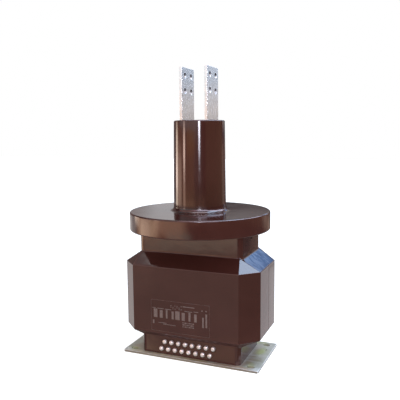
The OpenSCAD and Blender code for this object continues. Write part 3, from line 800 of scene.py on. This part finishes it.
# ------------------------------------------------------------------ primary bars
def build_bar(side, name, node):
    bx, t, w = 35.3, 8.0, 80.0
    path = []  # x, z, direction angle, inset at the end
    for z, ins in ((772.0, 0.7), (771.8, 0.25), (771.3, 0.0)):
        path.append((bx, z, -90.0, ins))
    path.append((bx, 600.0, -90.0, 0.0))
    for k in range(9):
        a = math.radians(180 + 90 * k / 8)
        path.append((bx + 12 + 12 * math.cos(a), 258 + 12 * math.sin(a), -90 + 90 * k / 8, 0.0))
    for k in range(9):
        a = math.radians(90 - 90 * k / 8)
        path.append((134 + 12 * math.cos(a), 234 + 12 * math.sin(a), 0 - 90 * k / 8, 0.0))
    for z, ins in ((118.7, 0.0), (118.2, 0.25), (118.0, 0.7)):
        path.append((146.0, z, -90.0, ins))
    section = rounded_polygon([(-t / 2, -w / 2), (t / 2, -w / 2), (t / 2, w / 2), (-t / 2, w / 2)], 0.9, 4)
    n = len(section)
    verts, faces = [], []
    for x, z, ang, ins in path:
        a = math.radians(ang)
        nx, nz = -math.sin(a), math.cos(a)  # normal of the path in the XZ plane
        sec = inset(section, ins, False) if ins else section
        for p, q in sec:
            verts.append((side * (x + p * nx), q, z + p * nz))
    for k in range(len(path) - 1):
        for i in range(n):
            j = (i + 1) % n
            faces.append((k * n + i, k * n + j, (k + 1) * n + j, (k + 1) * n + i))
    faces.append(tuple(range(n)))
    faces.append(tuple(range((len(path) - 1) * n, len(path) * n)))
    ob = new_object(name, verts, faces, (tinned, tinned_bore_painted_shade))
    cut = []
    for y in (-20, 20):
        for z in (711, 751):
            v, f = lathe([(7.9, -5.0), (7.6, -4.0), (7.0, -3.4), (7.0, 3.4), (7.6, 4.0), (7.9, 5.0)], 40)
            v = np.asarray(v)
            cut.append((np.stack([side * bx + v[:, 2], y + v[:, 0], z + v[:, 1]], 1), f))
    v, f = lathe([(10.0, -6), (10.0, 6)], 48)
    v = np.asarray(v)
    cut.append((np.stack([side * 146 + v[:, 2], v[:, 0], 148 + v[:, 1]], 1), f))
    v, f = merge(cut)
    boolean(ob, new_object("bar_cutter", v, f, (tinned,)))
    # the walls of the bar's holes get the material with painted shade and painted light
    for poly in ob.data.polygons:
        c = poly.center / MM
        if abs(abs(c.x) - bx) < 3.9 and min(math.hypot(c.y - y, c.z - z) for y in (-20, 20) for z in (711, 751)) < 7.4:
            poly.material_index = 1
    finish_mesh(ob)
    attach(ob, "root")
    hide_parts(node)
    return ob


build_bar(-1, "tinned_bar_p1", "primary_bar_p1")
build_bar(1, "tinned_bar_p2", "primary_bar_p2")


# ------------------------------------------------------------------ secondary terminals
def build_terminals():
    y0 = FACE_Y + 1.5  # seat of the washers
    # flat washers
    parts = []
    for x, z in TERM:
        v, f = ring_lathe([(3.2, 0.0), (6.2, 0.0), (6.2, 0.85), (6.05, 1.1), (5.8, 1.2), (3.4, 1.2), (3.2, 1.0)], 48)
        parts.append((to_minus_y(v, x, y0, z), f))
    v, f = merge(parts)
    ob = new_object("terminal_flat_washers", v, f, (washer,))
    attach(ob, "root"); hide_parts("terminal_washers")
    # split spring washers
    parts = []
    for j, (x, z) in enumerate(TERM):
        n, m = 44, 4
        verts, faces = [], []
        for k in range(n + 1):
            a = math.radians(3 + 354 * k / n)
            for r, h in ((3.3, 0.0), (5.2, 0.0), (5.2, 1.4), (3.3, 1.4)):
                verts.append((r * math.cos(a), r * math.sin(a), h))
        for k in range(n):
            for i in range(m):
                l = (i + 1) % m
                faces.append((k * m + i, (k + 1) * m + i, (k + 1) * m + l, k * m + l))
        faces.append((0, 1, 2, 3))
        faces.append(tuple(n * m + i for i in (3, 2, 1, 0)))
        parts.append((to_minus_y(np.array(verts), x, y0 - 1.2, z, spin=0.9 + j * 2.1), faces))
    v, f = merge(parts)
    ob = new_object("terminal_split_washers", v, f, (washer,))
    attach(ob, "root"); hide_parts("terminal_spring_washers")
    # pan heads with a cross recess
    prof = [(0, -12.6), (2.1, -12.6), (2.5, -12.2), (2.5, 0.0), (5.55, 0.0), (5.8, 0.3)]
    prof += arc_pts(3.4, 1.2, 2.4, 0, 62, 7)[1:]
    prof += [(r, 3.32 + 0.28 * (1 - (r / 4.5) ** 2)) for r in (3.6, 2.4, 1.2, 0.0)]
    v, f = lathe(prof, 48)
    head = new_object("head", v, f, (nickel,))
    cut = []
    for a in (0.0, math.pi / 2):
        hw, hl, top, bot = 0.62, 3.3, 4.2, 1.5
        vv = [(-hl, -hw, top), (hl, -hw, top), (hl, hw, top), (-hl, hw, top),
              (-hl * 0.45, -hw * 0.6, bot), (hl * 0.45, -hw * 0.6, bot), (hl * 0.45, hw * 0.6, bot), (-hl * 0.45, hw * 0.6, bot)]
        ff = [(0, 1, 2, 3), (7, 6, 5, 4), (0, 4, 5, 1), (1, 5, 6, 2), (2, 6, 7, 3), (3, 7, 4, 0)]
        c, s = math.cos(a), math.sin(a)
        cut.append((np.array([(p[0] * c - p[1] * s, p[0] * s + p[1] * c, p[2]) for p in vv]), ff))
    for i, (vv, ff) in enumerate(cut):
        boolean(head, new_object(f"cross_cutter_{i}", vv, ff, (nickel,)))
    hv = np.array([v.co[:] for v in head.data.vertices]) / MM
    hf = [tuple(p.vertices) for p in head.data.polygons]
    me = head.data
    bpy.data.objects.remove(head)
    bpy.data.meshes.remove(me)
    parts = [(to_minus_y(hv, x, y0 - 2.6, z, spin=math.radians(20 + 37 * j)), hf) for j, (x, z) in enumerate(TERM)]
    v, f = merge(parts)
    ob = new_object("terminal_pan_screws", v, f, (nickel,))
    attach(ob, "root"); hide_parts("terminal_screws")


build_terminals()


# ------------------------------------------------------------------ stage and light
def build_stage():
    m, nt, b, tc = nodes_for("floor")
    col = ramp(nt, noise(nt, tc, 3.0, 2), [(0.3, (0.36, 0.36, 0.36)), (0.7, (0.38, 0.38, 0.38))])
    nt.links.new(col, b.inputs["Base Color"])
    b.inputs["Roughness"].default_value = 0.9
    b.inputs["Specular IOR Level"].default_value = 0.0
    b.inputs["Emission Color"].default_value = (1, 1, 1, 1)
    pos = nt.nodes.new("ShaderNodeSeparateXYZ")
    nt.links.new(tc.outputs["Object"], pos.inputs[0])
    # painted shade: the floor's glow drops to almost nothing under the plate, so the slots look dark
    under = math_node(nt, "MULTIPLY", maprange(nt, math_node(nt, "ABSOLUTE", pos.outputs[0]), 0.187, 0.191, 1.0, 0.0),
                      maprange(nt, math_node(nt, "ABSOLUTE", pos.outputs[1]), 0.091, 0.095, 1.0, 0.0))
    nt.links.new(maprange(nt, under, 0.0, 1.0, 1.0, 0.02), b.inputs["Emission Strength"])
    bm = bmesh.new()
    bmesh.ops.create_grid(bm, x_segments=8, y_segments=8, size=12.0)
    me = bpy.data.meshes.new("floor")
    bm.to_mesh(me)
    bm.free()
    me.materials.append(m)
    floor = bpy.data.objects.new("floor", me)
    floor.visible_glossy = False
    bpy.context.scene.collection.objects.link(floor)


class Sky:
    """A studio seen from the part, as light that depends on direction: azimuth 0 is +Y, 90 is +X, in degrees."""

    def __init__(self):
        world = bpy.data.worlds.new("studio")
        bpy.context.scene.world = world
        world.use_nodes = True
        self.nt = nt = world.node_tree
        nt.nodes.clear()
        tc = nt.nodes.new("ShaderNodeTexCoord")
        sep = nt.nodes.new("ShaderNodeSeparateXYZ")
        nt.links.new(tc.outputs["Generated"], sep.inputs[0])
        x, y, z = self.x, self.y, self.z = sep.outputs
        self.az = self.op("MULTIPLY", self.op("ARCTAN2", x, y), 180 / math.pi)
        self.el = self.op("MULTIPLY", self.op("ARCSINE", z), 180 / math.pi)
        self.total = self.shine = None

    def op(self, kind, a, b=None, c=None):
        n = self.nt.nodes.new("ShaderNodeMath")
        n.operation = kind
        for sock, v in zip(n.inputs, (a, b, c)):
            if v is None:
                continue
            if hasattr(v, "is_linked"):
                self.nt.links.new(v, sock)
            else:
                sock.default_value = v
        return n.outputs[0]

    def step(self, v, lo, hi, falling=False):
        n = self.nt.nodes.new("ShaderNodeMapRange")
        n.interpolation_type = "SMOOTHSTEP"
        n.clamp = True
        for k, q in zip(range(1, 5), (lo, hi, 1.0 if falling else 0.0, 0.0 if falling else 1.0)):
            n.inputs[k].default_value = q
        self.nt.links.new(v, n.inputs[0])
        return n.outputs[0]

    def add(self, color, az=None, el=None, shine=False):
        """Adds colour over az = (middle, half width, softness) and el = (low, high, softness); shine shows in reflections only."""
        mask = None
        if az:
            c, half, soft = az
            off = self.op("ABSOLUTE", self.op("WRAP", self.op("SUBTRACT", self.az, c), 180.0, -180.0))
            mask = self.step(off, half - soft, half + soft, True)
        if el:
            lo, hi, soft = el
            m = None
            if lo > -90:
                m = self.step(self.el, lo - soft, lo + soft)
            if hi < 90:
                k = self.step(self.el, hi - soft, hi + soft, True)
                m = k if m is None else self.op("MULTIPLY", m, k)
            if m is not None:
                mask = m if mask is None else self.op("MULTIPLY", mask, m)
        n = self.nt.nodes.new("ShaderNodeVectorMath")
        n.operation = "SCALE"
        n.inputs[0].default_value = color
        if mask is None:
            n.inputs["Scale"].default_value = 1.0
        else:
            self.nt.links.new(mask, n.inputs["Scale"])
        out = n.outputs[0]
        before = self.shine if shine else self.total
        if before is not None:
            out = self.plus(before, out)
        if shine:
            self.shine = out
        else:
            self.total = out

    def plus(self, a, b):
        s = self.nt.nodes.new("ShaderNodeVectorMath")
        s.operation = "ADD"
        self.nt.links.new(a, s.inputs[0])
        self.nt.links.new(b, s.inputs[1])
        return s.outputs[0]

    def close(self):
        nt = self.nt
        out = nt.nodes.new("ShaderNodeOutputWorld")
        room = nt.nodes.new("ShaderNodeBackground")
        path = nt.nodes.new("ShaderNodeLightPath")
        gloss = nt.nodes.new("ShaderNodeVectorMath")
        gloss.operation = "SCALE"
        nt.links.new(self.shine, gloss.inputs[0])
        nt.links.new(path.outputs["Is Glossy Ray"], gloss.inputs["Scale"])
        nt.links.new(self.plus(self.total, gloss.outputs[0]), room.inputs[0])
        paper = nt.nodes.new("ShaderNodeBackground")
        paper.inputs[0].default_value = (1, 1, 1, 1)
        mix = nt.nodes.new("ShaderNodeMixShader")
        nt.links.new(path.outputs["Is Camera Ray"], mix.inputs[0])
        nt.links.new(room.outputs[0], mix.inputs[1])
        nt.links.new(paper.outputs[0], mix.inputs[2])
        nt.links.new(mix.outputs[0], out.inputs[0])


def build_sky():
    sky = Sky()
    sky.add((0.05, 0.05, 0.055))                                                  # all round
    sky.add((0.34, 0.46, 0.50), el=(40, 90, 8))                                   # ceiling
    sky.add((6.6, 8.6, 11.6), az=(71, 27, 4), el=(46, 74, 4))                     # overhead softbox, right
    sky.add((1.9, 1.9, 2.3), az=(118, 56, 8), el=(30, 46, 5))                     # high windows, right to front
    sky.add((0.24, 0.72, 1.6), az=(6, 8, 3), el=(17, 26, 1.6))                    # cool window behind
    sky.add((0.64, 0.84, 1.2), az=(6, 8, 3), el=(19.95, 26, 0.25))
    sky.add((0.30, 0.42, 0.56), az=(22, 8, 3), el=(1.2, 24, 1.6))
    sky.add((0.95, 0.66, 0.40), az=(22, 6, 2), el=(1.6, 4.6, 0.8))
    sky.add((0.40, 0.44, 0.50), az=(25.4, 2.2, 1.2), el=(6.3, 12, 0.8))
    sky.add((0.46, 0.45, 0.44), az=(-14, 16, 4), el=(9.0, 36, 0.5))
    sky.add((0.17, 0.14, 0.15), az=(-15, 4, 2), el=(8.1, 9, 0.4))
    sky.add((0.44, 0.43, 0.44), az=(-25.6, 3.0, 1.0), el=(2, 36, 2))              # pale wall behind, left
    sky.add((0.22, 0.21, 0.22), az=(-25.2, 2.6, 0.8), el=(2, 8.3, 0.25))
    sky.add((0.36, 0.32, 0.32), az=(-33, 4.5, 1.0), el=(2, 36, 3))
    sky.add((0.25, 0.18, 0.16), az=(-52, 16, 4), el=(2, 36, 3))
    sky.add((0.20, 0.17, 0.17), az=(-32, 8, 3), el=(-8, 0.4, 1))
    sky.add((0.16, 0.12, 0.12), az=(-55, 10, 4), el=(-8, 0, 1.2))
    sky.add((0.28, 0.16, 0.12), az=(11, 8, 4), el=(-8.2, 0, 1))
    sky.add((0.19, 0.18, 0.17), az=(-50, 8, 4), el=(-10.5, -8.3, 0.5))
    sky.add((0.27, 0.20, 0.14), az=(18, 16, 6), el=(-10.3, -8.5, 0.5))
    sky.add((0.60, 0.56, 0.54), az=(-50, 28, 8), el=(-90, -7.2, 2.4))             # white floor, left
    sky.add((0.27, 0.25, 0.25), az=(-50, 28, 8), el=(-90, -12.5, 2.5))
    sky.add((0.70, 0.68, 0.70), az=(8, 28, 6), el=(-90, -13.5, 1.2))              # white floor, back right
    sky.add((0.22, 0.22, 0.22), az=(0, 14.8, 0.5), el=(-90, -13.5, 1.2))
    sky.add((0.25, 0.16, 0.12), az=(10, 6.6, 0.5), el=(-13, -9, 0.6))
    sky.add((0.05, 0.13, 0.10), az=(100, 66, 8), el=(-90, -12, 3))                # floor, right
    sky.add((0.36, 0.36, 0.34), az=(-170, 45, 12), el=(-90, -13, 1.5))            # floor, front
    sky.add((0.10, 0.08, 0.05), az=(-170, 45, 12), el=(-20.3, -13, 1.5))
    sky.add((0.30, 0.20, 0.15), az=(-140, 12, 3), el=(-16.5, -12.6, 1.5))
    sky.add((0.45, 0.27, 0.12), az=(-157, 12, 4), el=(-26, -22.2, 0.5))
    sky.add((1.20, 0.80, 0.50), az=(-149.5, 2.5, 1.5), el=(-25, -21.5, 0.6))
    sky.add((0.72, 0.92, 0.78), az=(-168, 20, 8), el=(-12.6, -10.7, 0.7))
    sky.add((0.42, 0.21, 0.14), az=(-150, 36, 10), el=(-10.9, -8.7, 0.5))
    sky.add((0.72, 0.38, 0.22), az=(-130, 48, 8), el=(-12.6, 2.3, 1.2))           # warm wall, left
    sky.add((0.75, 0.42, 0.26), az=(-178, 48, 10), el=(-9.0, -4.9, 0.8))
    sky.add((0.45, 0.20, 0.00), az=(-165, 20, 8), el=(-0.4, 2.6, 0.9))
    sky.add((1.7, 1.2, 0.95), az=(-104, 12, 5), el=(-12.6, -1.0, 2.5))
    sky.add((2.2, 1.6, 1.1), az=(-108, 20, 12), el=(-13, -8.6, 1.0))
    sky.add((0.80, 0.54, 0.34), az=(-125, 7, 4), el=(-11.2, -8.6, 0.8))
    sky.add((1.5, 0.98, 0.68), az=(-150, 26, 12), el=(-10.8, -8.0, 0.6))
    sky.add((0.50, 0.32, 0.24), az=(-104, 10, 5), el=(-7, 0, 1.2))
    sky.add((4.4, 3.5, 2.8), az=(-81.5, 8, 4), el=(-8.7, 2.2, 1.6))
    sky.add((1.1, 0.85, 0.75), az=(-82, 8, 4), el=(-4.6, 0.4, 1.6))
    sky.add((2.2, 1.75, 1.75), az=(-82, 7, 4), el=(-5.0, -1.8, 1.2))
    sky.add((12.6, 9.1, 7.7), az=(-130.5, 4.5, 3.0), el=(-2.6, 2.2, 2.4))
    sky.add((2.6, 1.7, 1.3), az=(-130, 6, 3), el=(-8.6, -3.6, 1.6))
    sky.add((0.70, 0.80, 0.84), az=(-150, 46, 12), el=(2.1, 30, 0.5))             # pale wall, front left
    sky.add((30.0, 29.5, 34.0), az=(158.5, 3.4, 1.6), el=(0.6, 7.5, 3.3))         # tall lamp, front
    sky.add((9.0, 8.9, 10.2), az=(158.5, 4.6, 1.6), el=(2.4, 7, 1.2))
    sky.add((0.30, 0.26, 0.26), az=(165, 18, 8), el=(-4, 22, 3))
    sky.add((0.26, 0.17, 0.07), az=(85, 46, 8), el=(-9.2, 8, 1.5))
    sky.add((0.46, 0.35, 0.27), az=(32, 9, 4), el=(-9.2, 0, 1.4))
    sky.add((7.4, 7.2, 9.4), az=(118, 54, 8), el=(30, 46, 5), shine=True)
    sky.add((5.5, 5.3, 6.4), az=(147, 18, 6), el=(10, 30, 3), shine=True)
    sky.add((4.0, 2.2, 2.8), az=(-178, 14, 10), el=(28, 46, 6), shine=True)
    sky.add((1.2, 0.5, 0.4), az=(-128, 38, 10), el=(28, 58, 6), shine=True)
    sky.add((6.2, 6.4, 8.2), az=(46, 20, 6), el=(22, 44, 5), shine=True)
    sky.add((1.5, 1.4, 1.4), az=(15, 3, 1.5), el=(6, 24, 4), shine=True)
    sky.add((6.6, 5.8, 6.4), el=(74, 90, 4), shine=True)
    sky.add((2.2, 1.95, 1.85), az=(-124, 17, 6), el=(60.4, 78, 1.3), shine=True)
    sky.add((0.35, 0.36, 0.38), az=(-150, 46, 12), el=(4, 30, 3), shine=True)
    sky.close()


build_stage()
build_sky()

scene = bpy.context.scene
scene.view_settings.view_transform = "Standard"
scene.view_settings.look = "None"
scene.view_settings.exposure = 0.0
scene.view_settings.gamma = 1.0
